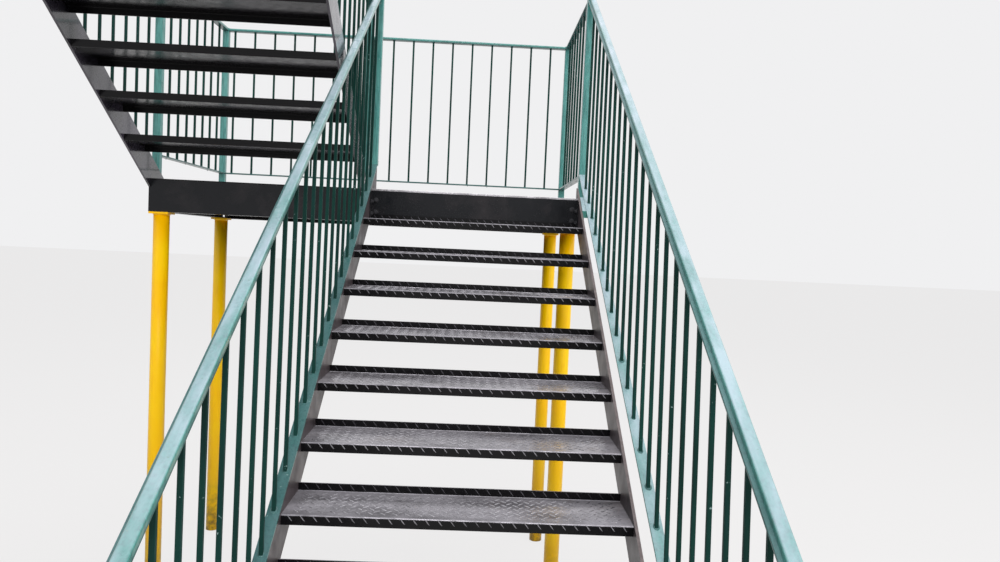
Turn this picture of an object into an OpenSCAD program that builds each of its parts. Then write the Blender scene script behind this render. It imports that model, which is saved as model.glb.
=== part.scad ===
// Outdoor steel fire escape stair: two flights side by side, turning on a half landing.
// The lower flight climbs away along +Y, the upper flight comes back along -Y on its left.
// Millimetres, +Z up, ground at z = 0.

/* [Steps] */
// Height of one step
rise = 158; // [150:1:175]
// Horizontal depth from nosing to nosing
going = 250; // [230:1:280]
// Clear width of a flight between its stringers
flight_w = 1080; // [800:5:1400]
// Gap between the two flights
well_gap = 34; // [34:1:200]
// Distance of the upper flight's first nosing in front of the landing
upper_setback = 80; // [40:1:120]

/* [Treads] */
// Level gap between the back edge of a tread and the next nosing
tread_gap = 12; // [6:1:30]
// Thickness of the chequer plate
tread_t = 5; // [3:0.5:8]
// Height of the turned-down front edge
nosing_h = 32; // [20:1:60]
// Height of the turned-up back edge, above the tread
upstand_h = 26; // [15:1:60]

/* [Stringers] */
// Depth of a stringer, square to its slope
stringer_d = 138; // [120:1:200]
// Thickness of a stringer
stringer_t = 10; // [6:1:16]
// Height of a stringer's upper edge above the nosings, plumb
stringer_over = 10; // [0:1:40]
// Length that the left lower stringer runs on over the landing
left_run_on = 190; // [100:5:198]
// Length that the right lower stringer runs on over the landing
right_run_on = 80; // [40:5:190]
// Thickness of a foot plate or wall plate
plate_t = 10; // [6:1:20]
// Length of a foot plate along the flight
foot_l = 180; // [140:5:260]
// Width of a foot plate or wall plate
foot_w = 90; // [70:1:140]
// Height of a wall plate at the top of the upper flight
wall_plate_h = 220; // [180:5:320]
// Hole for a foot bolt or wall bolt
foot_hole = 14; // [9:1:18]

/* [Landing] */
// Depth of the landing, front to back
landing_d = 1238; // [1000:1:1800]
// Height of a landing beam
beam_h = 165; // [120:1:220]
// Width of a beam flange
beam_w = 65; // [40:1:90]
// Thickness of beam steel
beam_t = 8; // [5:0.5:12]
// Height of a joist
joist_h = 100; // [60:1:110]
// Width of a joist
joist_w = 50; // [30:1:70]
// Number of joists under the floor plate
joists = 3; // [1:1:5]
// Thickness of the floor plate
floor_t = 6; // [4:0.5:10]

/* [Posts] */
// Outer diameter of a post
post_d = 80; // [60:0.5:100]
// Wall thickness of a post
post_wall = 4; // [3:0.5:8]
// Distance from the landing's side to a post's centre line
post_inset_x = 50; // [46:1:140]
// Distance from the landing's front to a front post's centre line
post_inset_front = 50; // [46:1:140]
// Distance from the landing's rear to a rear post's centre line
post_inset_rear = 230; // [80:1:400]
// Side of a post's cap plate
cap_plate = 100; // [90:1:160]

/* [Balustrades] */
// Height of a handrail's top above the nosings, measured plumb
rail_h = 985; // [850:5:1100]
// Height of the landing rail's top above the floor
landing_rail_h = 1105; // [1000:5:1250]
// Height of the landing's bottom rail above the floor
landing_gap = 132; // [60:1:250]
// Width of a handrail
rail_w = 40; // [30:1:60]
// Depth of a handrail
rail_d = 20; // [16:1:40]
// Width of a bottom rail
flat_w = 40; // [30:1:60]
// Thickness of a bottom rail
flat_t = 8; // [5:0.5:12]
// Thickness of a baluster
bar = 12; // [8:0.5:20]
// Distance between balusters of a flight, measured level
flight_bar_pitch = 131; // [90:1:150]
// Distance between balusters of the landing
landing_bar_pitch = 133; // [90:1:150]
// Distance from the rear right newel's middle to the first baluster
landing_first_bar = 119; // [60:1:150]
// Distance from the left upper newel down to the first baluster
left_first_bar = 123; // [60:1:140]
// Distance from the right upper newel down to the first baluster
right_first_bar = 134; // [60:1:140]
// Side of a square newel post
newel = 40; // [30:1:60]
// Distance of the lower flight's upper newels behind the landing's front
newel_back = 200; // [200:1:300]
// Distance of the upper flight's lower newels behind the landing's front
upper_newel_back = 165; // [120:1:170]
// Length of a newel below the floor, beside the beam
newel_drop = 120; // [60:5:150]
// How far the left handrail sits in from its bottom rail
left_rail_in = 7; // [0:1:12]
// Gap between the right stringer and its bottom rail at the foot
right_gap_foot = 50; // [16:1:80]
// Gap between the landing's side and its newels
side_gap = 16; // [6:1:40]
// Height of a lug between a stringer and a bottom rail
lug_h = 30; // [15:1:60]
// Length of a lug
lug_l = 120; // [40:5:200]

/* [Hidden] */
$fn = 48;

steel_black = "#2b2828";
plate_grey = "#55555a";
green = "#3f8078";
yellow = "#f0b90a";

// Number of rises, fixed by the list of treads
lower_rises = 14;
upper_rises = 9;

// Heights and places along the flights
pitch = atan(rise / going);
slope = rise / going;
tread_d = going - tread_gap;
landing_z = lower_rises * rise;
landing_y = (lower_rises - 1) * going;
landing_back = landing_y + landing_d;
upper_y = landing_y - upper_setback;
wall_y = upper_y - (upper_rises - 1) * going;

// Sides of the flights, left to right
lower_right = flight_w / 2;
lower_left = -flight_w / 2;
upper_right = lower_left - 2 * stringer_t - well_gap;
upper_left = upper_right - flight_w;
landing_left = upper_left - stringer_t;
landing_right = lower_right + stringer_t;

// Middles of the balustrades round the landing
rail_right_x = landing_right + side_gap + newel / 2;
rail_left_x = landing_left - side_gap - newel / 2;
rail_rear_y = landing_back + side_gap + newel / 2;

// Ends of the flights' balustrades
lower_rail_y0 = -foot_l / 3;
lower_rail_y1 = landing_y + newel_back + newel;
upper_rail_y0 = wall_y + plate_t;
right_foot_x = landing_right + right_gap_foot + flat_w / 2;

// The object's box, so that the origin is under its middle
box_left = rail_left_x - max(newel, rail_w, flat_w) / 2;
box_right = right_foot_x + max(newel, flat_w) / 2;
box_front = -foot_l / 2;
box_back = rail_rear_y + max(newel, rail_w, flat_w) / 2;

module placed() {
    translate([-(box_left + box_right) / 2, -(box_front + box_back) / 2, 0]) children();
}

// A flat shape drawn as [y, z] points, standing in a plane square to X from x to x + w
module upright(x, w, points) {
    translate([x, 0, 0])
        rotate([90, 0, 90])
            linear_extrude(height = w) polygon(points);
}

// Height of the line through the nosings
function lower_line(y) = rise + y * slope;
function upper_line(y) = landing_z + rise + (upper_y - y) * slope;

// Plumb height of a size that is measured square to the slope
function plumb(size) = size / cos(pitch);

// Treads: a plate with a turned-down front and a turned-up back, front edge at y = 0
function tread_outline() = [
    [0, 0], [0, -nosing_h], [tread_t, -nosing_h], [tread_t, -tread_t],
    [tread_d, -tread_t], [tread_d, upstand_h], [tread_d - tread_t, upstand_h],
    [tread_d - tread_t, 0]];

module lower_tread(k) {
    placed() color(plate_grey)
        translate([0, (k - 1) * going, k * rise])
            upright(lower_left, flight_w, tread_outline());
}

module upper_tread(k) {
    placed() color(plate_grey)
        translate([0, upper_y - (k - 1) * going, landing_z + k * rise])
            mirror([0, 1, 0]) upright(upper_left, flight_w, tread_outline());
}

// Lower stringers: cut level on the foot plate, butted to the front beam and run on over the floor
module lower_stringer(x, side, run_on) {
    top_front = -foot_l / 3;
    heel = (plumb(stringer_d) - stringer_over - rise + plate_t) / slope;
    end_y = landing_y + run_on;
    placed() color(steel_black) {
        upright(x, stringer_t, [
            [top_front, plate_t], [heel, plate_t],
            [landing_y, landing_z + stringer_over - plumb(stringer_d)], [landing_y, landing_z],
            [end_y, landing_z], [end_y, lower_line(end_y) + stringer_over],
            [top_front, lower_line(top_front) + stringer_over]]);
        difference() {
            translate([x + stringer_t / 2 - foot_w / 2, -foot_l / 2, 0])
                cube([foot_w, foot_l, plate_t]);
            for (end = [-1, 1])
                translate([x + stringer_t / 2 + side * foot_w / 4, end * foot_l * 0.35, -1])
                    cylinder(d = foot_hole, h = plate_t + 2);
        }
    }
}

// Upper stringers: stand on the floor plate and end in a plate against the wall
module upper_stringer(x, side) {
    end_y = wall_y + plate_t;
    toe = landing_y + upper_newel_back;
    under = stringer_over - plumb(stringer_d);
    plate_z = upper_line(wall_y) + stringer_over - plumb(stringer_d) / 2;
    placed() color(steel_black) {
        upright(x, stringer_t, [
            [toe, landing_z], [toe, upper_line(toe) + stringer_over],
            [end_y, upper_line(end_y) + stringer_over], [end_y, upper_line(end_y) + under],
            [landing_y, upper_line(landing_y) + under], [landing_y, landing_z]]);
        difference() {
            translate([x + stringer_t / 2 - foot_w / 2, wall_y, plate_z - wall_plate_h / 2])
                cube([foot_w, plate_t, wall_plate_h]);
            for (end = [-1, 1])
                translate([x + stringer_t / 2 + side * foot_w / 4, wall_y - 1,
                        plate_z + end * wall_plate_h * 0.35])
                    rotate([-90, 0, 0]) cylinder(d = foot_hole, h = plate_t + 2);
        }
    }
}

// A channel section, web at x = 0 and flanges towards +X, top at z = 0
module channel(h, w, t, length) {
    rotate([-90, 0, 0])
        linear_extrude(height = length)
            difference() {
                square([w, h]);
                translate([t, t]) square([w, h - 2 * t]);
            }
}

beam_top = landing_z - floor_t;

module landing_beam_front() {
    placed() color(steel_black)
        translate([landing_right, landing_y, beam_top])
            rotate([0, 0, 90]) channel(beam_h, beam_w, beam_t, landing_right - landing_left);
}

module landing_beam_rear() {
    placed() color(steel_black)
        translate([landing_left, landing_back, beam_top])
            rotate([0, 0, -90]) channel(beam_h, beam_w, beam_t, landing_right - landing_left);
}

side_beam_l = landing_d - 2 * beam_w;

module landing_beam_left() {
    placed() color(steel_black)
        translate([landing_left, landing_y + beam_w, beam_top])
            channel(beam_h, beam_w, beam_t, side_beam_l);
}

module landing_beam_right() {
    placed() color(steel_black)
        translate([landing_right, landing_y + beam_w, beam_top])
            mirror([1, 0, 0]) channel(beam_h, beam_w, beam_t, side_beam_l);
}

module landing_joists() {
    step = (landing_right - landing_left) / (joists + 1);
    placed() color(steel_black)
        for (i = [1 : joists])
            translate([landing_left + i * step - joist_w / 2, landing_y + beam_t, beam_top])
                translate([0, 0, -beam_t])
                    channel(joist_h, joist_w, beam_t / 2, landing_d - 2 * beam_t);
}

module landing_floor() {
    placed() color(plate_grey)
        translate([landing_left, landing_y, beam_top])
            cube([landing_right - landing_left, landing_d, floor_t]);
}

// Posts: a tube set in the ground, with a cap plate under the beams
module post(x, y) {
    top = beam_top - beam_h;
    placed() color(yellow) translate([x, y, 0]) {
        difference() {
            cylinder(d = post_d, h = top - plate_t);
            translate([0, 0, -1])
                cylinder(d = post_d - 2 * post_wall, h = top - plate_t + 2);
        }
        translate([-cap_plate / 2, -cap_plate / 2, top - plate_t])
            cube([cap_plate, cap_plate, plate_t]);
    }
}

post_right_x = landing_right - post_inset_x;
post_left_x = landing_left + post_inset_x;
post_front_y = landing_y + post_inset_front;
post_rear_y = landing_back - post_inset_rear;

module newel_post(x, y, base, top) {
    translate([x - newel / 2, y, base]) cube([newel, newel, top - base]);
}

// Block that holds a newel off the beam beside it
module packer(x, y, reach_x, reach_y) {
    translate([x, y, landing_z - newel_drop + floor_t])
        cube([reach_x, reach_y, newel_drop - 4 * floor_t]);
}

// A raked balustrade from y0 to y1: underside of the flat at z0 and leaning by lean per millimetre.
// The flat's middle is at x0 and x1 at its ends, the handrail's at xr all along.
module raked_panel(x0, x1, xr, y0, y1, z0, lean, height, first, bars) {
    turn = atan((x0 - x1) / (y1 - y0));
    flat_v = plumb(flat_t);
    rail_v = plumb(rail_d);
    function under(y) = z0 + (y - y0) * lean;
    function flat_x(y) = x0 + (x1 - x0) * (y - y0) / (y1 - y0);
    translate([x0, y0, 0]) rotate([0, 0, turn])
        upright(-flat_w / 2, flat_w, [
            [0, z0 + flat_v], [y1 - y0, under(y1) + flat_v], [y1 - y0, under(y1)], [0, z0]]);
    upright(xr - rail_w / 2, rail_w, [
        [y0 + newel / 2, under(y0 + newel / 2) + height],
        [y1 - newel / 2, under(y1 - newel / 2) + height],
        [y1 - newel / 2, under(y1 - newel / 2) + height - rail_v],
        [y0 + newel / 2, under(y0 + newel / 2) + height - rail_v]]);
    for (i = [0 : bars - 1])
        let (y = first - i * flight_bar_pitch, foot = under(y) + flat_v / 2,
                up = height - flat_v / 2 - rail_v / 2, tilt = atan((xr - flat_x(y)) / up))
            translate([flat_x(y), y, foot]) rotate([0, tilt, 0])
                translate([-bar / 2, -bar / 2, 0]) cube([bar, bar, up / cos(tilt)]);
}

function bar_count(first, last) = floor((first - last) / flight_bar_pitch) + 1;

left_bar_x = lower_left - flat_w / 2;
lower_flat_z = lower_line(lower_rail_y0) + stringer_over;
lower_first_left = landing_y + newel_back - left_first_bar;
lower_first_right = landing_y + newel_back - right_first_bar;
lower_last = lower_rail_y0 + newel + bar;
panel_h = rail_h - stringer_over;

// A newel standing on the lower end of the lower flight's flats
module foot_newel(x) {
    newel_post(x, lower_rail_y0, lower_flat_z + plumb(flat_t) / 2,
        lower_line(lower_rail_y0 + newel) + rail_h + rail_d);
}

module lower_balustrade_left() {
    placed() color(green) {
        raked_panel(left_bar_x, left_bar_x, left_bar_x + left_rail_in, lower_rail_y0,
            lower_rail_y1, lower_flat_z, slope, panel_h, lower_first_left,
            bar_count(lower_first_left, lower_last));
        foot_newel(left_bar_x);
        newel_post(left_bar_x, landing_y + newel_back,
            lower_line(landing_y + newel_back) + stringer_over + plumb(flat_t) / 2,
            lower_line(lower_rail_y1) + rail_h + rail_d);
    }
}

// Lugs that carry an outside flat from the stringer's face at x = face
module lug(face, reach, y, z, lean) {
    flat_v = plumb(flat_t);
    upright(reach > 0 ? face : face + reach, abs(reach), [
        [y, z + flat_v / 2], [y + lug_l, z + lug_l * lean + flat_v / 2],
        [y + lug_l, z + lug_l * lean - lug_h], [y, z - lug_h]]);
}

module lower_balustrade_right() {
    span = lower_rail_y1 - lower_rail_y0;
    function gap(y) = right_gap_foot + (side_gap - right_gap_foot) * (y - lower_rail_y0) / span;
    placed() color(green) {
        raked_panel(right_foot_x, landing_right + side_gap + flat_w / 2, rail_right_x,
            lower_rail_y0, lower_rail_y1, lower_flat_z, slope, panel_h,
            lower_first_right, bar_count(lower_first_right, lower_last));
        foot_newel(right_foot_x);
        newel_post(rail_right_x, landing_y + newel_back, landing_z - newel_drop,
            lower_line(lower_rail_y1) + rail_h + rail_d);
        packer(landing_right, landing_y + newel_back, side_gap + newel / 2, newel);
        for (y = [going / 2, landing_y - lug_l - bar])
            lug(landing_right, gap(y) + flat_w / 2, y, lower_line(y) + stringer_over, slope);
    }
}

upper_flat_z = upper_line(upper_rail_y0) + stringer_over;
upper_first = landing_y + upper_newel_back - left_first_bar;
upper_last = upper_rail_y0 + newel + bar;

module upper_panel(x, flat_end) {
    raked_panel(x, x, x, upper_rail_y0, flat_end, upper_flat_z, -slope, panel_h,
        upper_first, bar_count(upper_first, upper_last));
    newel_post(x, upper_rail_y0, upper_line(upper_rail_y0 + newel) + stringer_over,
        upper_line(upper_rail_y0) + rail_h + rail_d);
}

upper_inner_x = upper_right + stringer_t - flat_w / 2;

module upper_balustrade_inner() {
    placed() color(green) {
        upper_panel(upper_inner_x, landing_y + upper_newel_back + newel / 2);
        newel_post(upper_inner_x, landing_y + upper_newel_back, landing_z,
            landing_z + landing_rail_h);
    }
}

module upper_balustrade_outer() {
    placed() color(green) {
        upper_panel(rail_left_x, landing_y + upper_newel_back + newel / 2);
        newel_post(rail_left_x, landing_y + upper_newel_back, landing_z - newel_drop,
            landing_z + landing_rail_h);
        packer(rail_left_x, landing_y + upper_newel_back, side_gap + newel / 2, newel);
        for (y = [wall_y + going / 2, upper_y - lug_l])
            lug(landing_left, -side_gap - flat_w / 2, y, upper_line(y) + stringer_over, -slope);
    }
}

// A level balustrade along +X from a newel's middle to another's, bottom rail and top rail
module level_panel(length, first) {
    bottom = landing_z + landing_gap;
    top = landing_z + landing_rail_h;
    bars = floor((length - first - newel / 2 - bar) / landing_bar_pitch) + 1;
    translate([0, -flat_w / 2, bottom]) cube([length, flat_w, flat_t]);
    translate([0, -rail_w / 2, top - rail_d]) cube([length, rail_w, rail_d]);
    for (i = [0 : bars - 1])
        translate([first + i * landing_bar_pitch - bar / 2, -bar / 2, bottom + flat_t / 2])
            cube([bar, bar, top - rail_d / 2 - bottom - flat_t / 2]);
}

module landing_balustrade_rear() {
    base = landing_z - newel_drop;
    top = landing_z + landing_rail_h;
    placed() color(green) {
        for (x = [rail_left_x, rail_right_x])
            newel_post(x, rail_rear_y - newel / 2, base, top);
        for (x = [rail_left_x, landing_right - newel / 2])
            packer(x, landing_back, side_gap + newel, side_gap + newel / 2);
        translate([rail_right_x, rail_rear_y, 0])
            rotate([0, 0, 180]) level_panel(rail_right_x - rail_left_x, landing_first_bar);
    }
}

module landing_side(x, front) {
    length = rail_rear_y - newel / 2 - front;
    bars = floor((length - 2 * bar) / landing_bar_pitch);
    placed() color(green)
        translate([x, front, 0]) rotate([0, 0, 90])
            level_panel(length, (length - (bars - 1) * landing_bar_pitch) / 2);
}

lower_stringer(lower_left - stringer_t, -1, left_run_on);  // lower_stringer_left
lower_stringer(lower_right, 1, right_run_on);  // lower_stringer_right
lower_tread(1);  // lower_tread_01
lower_tread(2);  // lower_tread_02
lower_tread(3);  // lower_tread_03
lower_tread(4);  // lower_tread_04
lower_tread(5);  // lower_tread_05
lower_tread(6);  // lower_tread_06
lower_tread(7);  // lower_tread_07
lower_tread(8);  // lower_tread_08
lower_tread(9);  // lower_tread_09
lower_tread(10);  // lower_tread_10
lower_tread(11);  // lower_tread_11
lower_tread(12);  // lower_tread_12
lower_tread(13);  // lower_tread_13
upper_stringer(upper_right, 1);  // upper_stringer_inner
upper_stringer(upper_left - stringer_t, -1);  // upper_stringer_outer
upper_tread(1);  // upper_tread_01
upper_tread(2);  // upper_tread_02
upper_tread(3);  // upper_tread_03
upper_tread(4);  // upper_tread_04
upper_tread(5);  // upper_tread_05
upper_tread(6);  // upper_tread_06
upper_tread(7);  // upper_tread_07
upper_tread(8);  // upper_tread_08
landing_beam_front();
landing_beam_rear();
landing_beam_left();
landing_beam_right();
landing_joists();
landing_floor();
post(post_right_x, post_front_y);  // post_front_right
post(post_right_x, post_rear_y);  // post_rear_right
post(post_left_x, post_front_y);  // post_front_left
post(post_left_x, post_rear_y);  // post_rear_left
lower_balustrade_left();
lower_balustrade_right();
upper_balustrade_inner();
upper_balustrade_outer();
landing_balustrade_rear();
landing_side(rail_right_x, landing_y + newel_back + newel);  // landing_balustrade_right
landing_side(rail_left_x, landing_y + upper_newel_back + newel);  // landing_balustrade_left
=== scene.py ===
"""Looks of an outdoor steel stair: two flights turning on a half landing.

Metres, +Z up, ground at z = 0. The lower flight climbs along +Y, the upper one comes back
along -Y on its left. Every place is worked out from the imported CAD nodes.
"""

import math
import random

import bmesh
import bpy
from mathutils import Matrix, Vector


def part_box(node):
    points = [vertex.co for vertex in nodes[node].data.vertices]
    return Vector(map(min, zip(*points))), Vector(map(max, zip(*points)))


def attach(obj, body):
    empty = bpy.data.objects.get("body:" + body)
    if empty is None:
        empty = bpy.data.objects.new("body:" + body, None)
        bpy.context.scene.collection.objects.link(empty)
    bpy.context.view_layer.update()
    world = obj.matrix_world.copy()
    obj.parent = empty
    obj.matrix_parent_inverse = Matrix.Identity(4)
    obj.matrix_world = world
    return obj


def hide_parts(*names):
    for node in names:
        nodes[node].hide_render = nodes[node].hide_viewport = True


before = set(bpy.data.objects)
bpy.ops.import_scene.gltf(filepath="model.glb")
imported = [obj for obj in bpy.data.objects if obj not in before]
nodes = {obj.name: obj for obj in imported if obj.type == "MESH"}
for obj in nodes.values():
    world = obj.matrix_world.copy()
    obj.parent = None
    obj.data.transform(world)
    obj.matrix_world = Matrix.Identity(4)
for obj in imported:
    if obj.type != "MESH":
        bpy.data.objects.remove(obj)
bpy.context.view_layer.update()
rng = random.Random(11)

# Places that the frame gives
tread_low, tread_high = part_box("lower_tread_01")
next_low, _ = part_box("lower_tread_02")
first_up_low, first_up_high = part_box("upper_tread_01")
floor_low, floor_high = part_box("landing_floor")
beam_low, beam_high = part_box("landing_beam_front")
left_rail_low, left_rail_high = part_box("lower_balustrade_left")
_, right_rail_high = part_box("lower_balustrade_right")
outer_rail_low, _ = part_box("upper_balustrade_outer")
_, rear_rail_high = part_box("landing_balustrade_rear")
RISE = next_low.z - tread_low.z
GOING = next_low.y - tread_low.y
SLOPE = RISE / GOING
PLUMB = math.hypot(RISE, GOING) / GOING
LOWER_TREADS = sum(name.startswith("lower_tread") for name in nodes)
UPPER_TREADS = sum(name.startswith("upper_tread") for name in nodes)
FIRST_Y = tread_low.y
FLIGHT_MIDDLE = (tread_low.x + tread_high.x) / 2
FLIGHT_W = tread_high.x - tread_low.x
NOSING_H = RISE - tread_low.z
UPSTAND_H = tread_high.z - RISE
TREAD_D = tread_high.y - tread_low.y
LANDING_Z = floor_high.z
LANDING_Y = floor_low.y
LANDING_BACK = floor_high.y
LANDING_LEFT = floor_low.x
LANDING_RIGHT = floor_high.x
FLOOR_T = floor_high.z - floor_low.z
UPPER_Y = first_up_high.y
WALL_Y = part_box("upper_stringer_outer")[0].y

# Sections of steel: bent plate, bottom rail, handrail, bar and newel
TREAD_T = 0.005
FLAT_W = 0.040
FLAT_T = 0.008
RAIL_W = 0.040
RAIL_D = 0.020
BAR = 0.012
NEWEL = 0.040

# Half the upright depth of a sloping bottom rail and handrail
HALF_FLAT = FLAT_T * PLUMB / 2
HALF_RAIL = RAIL_D * PLUMB / 2

# Stringers: how far they stand over the nosings, their depth, and the plates at their ends
STRINGER_OVER = 0.010
STRINGER_D = 0.138
PLATE_T = 0.010
PLATE_W = 0.090
WALL_PLATE_H = 0.220
HOLE_SHARE = 0.35

# Heights of the handrails, and of the level bottom rail
RAIL_H = 0.985
LANDING_RAIL_H = 1.105
LANDING_GAP = 0.132

# Bars: their pitches, and how far the first one stands from a newel
FLIGHT_PITCH = 0.131
LANDING_PITCH = 0.133
LEFT_FIRST = 0.123
RIGHT_FIRST = 0.134
LANDING_FIRST = 0.119

# Newels on the landing: how far back they stand and how far they drop past the floor
NEWEL_BACK = 0.200
UPPER_NEWEL_BACK = 0.165
NEWEL_DROP = 0.120

# Gaps between the outside balustrades and what carries them, at the landing and at the foot
SIDE_GAP = 0.016
GAP_FOOT = 0.050

# Lugs that carry the outside bottom rails
RAIL_LUG_H = 0.030
RAIL_LUG_L = 0.120

# How far the lower left handrail is set in from its bottom rail
LEFT_RAIL_IN = 0.007

# Radii to which edges are eased
SAWN_EDGE = 0.001
BAR_EDGE = 0.0012
FLAT_EDGE = 0.0014
BLOCK_EDGE = 0.0015
CAP_EDGE = 0.002
NEWEL_EDGE = 0.004
RAIL_EDGE = 0.0055

# How deep a shape is let into the one that carries it
LET_IN = 0.001


def lower_line(y):
    """Height of the line through the lower nosings."""
    return RISE + (y - FIRST_Y) * SLOPE


def upper_line(y):
    """Height of the line through the upper nosings."""
    return LANDING_Z + RISE + (UPPER_Y - y) * SLOPE


# Camera: its place from the lower flight's middle and first nosing, its turns and its lens
EYE_SIDE = 0.0133
EYE_BACK = 0.8505
EYE_HEIGHT = 1.9555
TURN_RIGHT = 0.0336
TILT_UP = -0.0472
ROLL = 0.0464
LENS = 28.08
FILM = 36.0
FAR = 200


def new_object(name, data):
    """A new object of the scene that holds a mesh, a lamp or a camera."""
    obj = bpy.data.objects.new(name, data)
    bpy.context.scene.collection.objects.link(obj)
    return obj


def add_camera():
    """The view up the lower flight from its foot."""
    data = bpy.data.cameras.new("camera")
    data.lens = LENS
    data.sensor_width = FILM
    data.clip_end = FAR
    camera = new_object("camera", data)
    place = Matrix.Translation((FLIGHT_MIDDLE + EYE_SIDE, FIRST_Y - EYE_BACK, EYE_HEIGHT))
    aim = (Matrix.Rotation(-TURN_RIGHT, 4, "Z") @ Matrix.Rotation(math.pi / 2 + TILT_UP, 4, "X")
           @ Matrix.Rotation(ROLL, 4, "Z"))
    camera.matrix_world = place @ aim
    bpy.context.scene.camera = camera


def linear(red, green, blue):
    """A colour given as it looks on screen, 0 to 255, as the shader's own numbers."""
    def one(value):
        value = value / 255
        if value <= 0.04045:
            return value / 12.92
        return ((value + 0.055) / 1.055) ** 2.4
    return (one(red), one(green), one(blue), 1.0)


# Colours of the paints, and of what has settled on them or shows through
CLEAN_BLACK = linear(14, 15, 19)
GREY_DUST = linear(114, 104, 103)
PLATE_BLACK = linear(10, 9, 11)
RUBBED_PLATE = linear(172, 167, 173)
DRIED_EARTH = linear(100, 83, 74)
# Bright steel along the tread folds: rubbed wear and a painted highlight
RUBBED_AND_HIGHLIT_BEND = linear(164, 160, 166)
LUG_GRIME = linear(40, 38, 41)
DARK_STREAK = linear(18, 54, 53)
# Pale lilac green of chalky paint on faces that look up, partly a painted reflection of the sky
CHALK_AND_SKY_SHEEN = linear(170, 184, 194)
CHIPPED_GREEN = linear(126, 150, 147)
DEEP_YELLOW = linear(255, 192, 0)
LIGHT_YELLOW = linear(255, 206, 3)
ORANGE_RUN = linear(228, 148, 2)
SPLASHED_EARTH = linear(120, 96, 50)
DARK_ZINC = linear(20, 20, 22)
LIGHT_ZINC = linear(54, 53, 57)

# Height of the grain in paint
GRAIN_H = 0.0005


class Finish:
    """A material under construction: its shader, and nodes that feed it."""

    def __init__(self, name):
        self.material = bpy.data.materials.new(name)
        self.material.use_nodes = True
        self.tree = self.material.node_tree
        self.shader = self.tree.nodes["Principled BSDF"]
        self.place = self.tree.nodes.new("ShaderNodeTexCoord")

    def link(self, source, target):
        self.tree.links.new(source, target)

    def noise(self, scale, detail=4.0, roughness=0.55, stretch=(1, 1, 1)):
        """Noise from 0 to 1 over the object, finer along an axis with a larger stretch."""
        mapping = self.tree.nodes.new("ShaderNodeMapping")
        mapping.inputs["Scale"].default_value = stretch
        self.link(self.place.outputs["Object"], mapping.inputs["Vector"])
        node = self.tree.nodes.new("ShaderNodeTexNoise")
        node.inputs["Scale"].default_value = scale
        node.inputs["Detail"].default_value = detail
        node.inputs["Roughness"].default_value = roughness
        self.link(mapping.outputs["Vector"], node.inputs["Vector"])
        return node.outputs["Fac"]

    def ramp(self, value, low, high, start=0.0, end=1.0):
        """Start where the value is low, end where it is high, and even between."""
        node = self.tree.nodes.new("ShaderNodeMapRange")
        node.inputs["From Min"].default_value = low
        node.inputs["From Max"].default_value = high
        node.inputs["To Min"].default_value = start
        node.inputs["To Max"].default_value = end
        self.link(value, node.inputs["Value"])
        return node.outputs["Result"]

    def maths(self, operation, first, second):
        """Two values multiplied, or the larger of them."""
        node = self.tree.nodes.new("ShaderNodeMath")
        node.operation = operation
        self.link(first, node.inputs[0])
        self.link(second, node.inputs[1])
        return node.outputs["Value"]

    def blend(self, share, first, second):
        """A share of the second colour over the first; each is a socket or a colour."""
        node = self.tree.nodes.new("ShaderNodeMix")
        node.data_type = "RGBA"
        self.link(share, node.inputs["Factor"])
        colour_inputs = [socket for socket in node.inputs if socket.type == "RGBA"]
        for socket, value in zip(colour_inputs, (first, second)):
            if isinstance(value, tuple):
                socket.default_value = value
            else:
                self.link(value, socket)
        return next(socket for socket in node.outputs if socket.type == "RGBA")

    def upright_part(self, vector):
        """The Z of a vector."""
        split = self.tree.nodes.new("ShaderNodeSeparateXYZ")
        self.link(vector, split.inputs["Vector"])
        return split.outputs["Z"]

    def facing_up(self):
        """1 on a level top, 0 on an upright face."""
        geometry = self.tree.nodes.new("ShaderNodeNewGeometry")
        return self.upright_part(geometry.outputs["Normal"])

    def height(self):
        """Metres over the ground."""
        return self.upright_part(self.place.outputs["Object"])

    def grain(self, noise, strength):
        """Fine relief that a noise gives."""
        node = self.tree.nodes.new("ShaderNodeBump")
        node.inputs["Strength"].default_value = strength
        node.inputs["Distance"].default_value = GRAIN_H
        self.link(noise, node.inputs["Height"])
        self.link(node.outputs["Normal"], self.shader.inputs["Normal"])

    def colour(self, value):
        """The colour that the shader takes."""
        self.link(value, self.shader.inputs["Base Color"])

    def roughness(self, scale, smoothest, roughest):
        """Roughness that wanders between two values in patches of a scale."""
        patches = self.ramp(self.noise(scale), 0.3, 0.7, smoothest, roughest)
        self.link(patches, self.shader.inputs["Roughness"])

    def even(self, socket, value):
        """A value of the shader that is the same all over."""
        self.shader.inputs[socket].default_value = value


def black_paint(name, film, clean, covered, smooth, coat):
    """Black paint under patches of a film, with dust on what faces up.

    Noise turns from clean to covered; smooth is the lowest roughness, coat the share of gloss.
    """
    f = Finish(name)
    patches = f.ramp(f.noise(4.0, detail=6, roughness=0.6), clean, covered)
    colour = f.blend(patches, CLEAN_BLACK, film)
    dust = f.ramp(f.facing_up(), 0.35, 0.9)
    grain = f.ramp(f.noise(50.0, detail=4), 0.30, 0.62, 0.45, 1.0)
    colour = f.blend(f.maths("MULTIPLY", dust, grain), colour, GREY_DUST)
    f.colour(colour)
    f.roughness(14.0, smooth, smooth + 0.16)
    f.even("Specular IOR Level", 0.28)
    f.even("Coat Weight", coat)
    f.even("Coat Roughness", 0.06)
    f.grain(f.noise(220.0, detail=3), 0.15)
    return f.material


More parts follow.
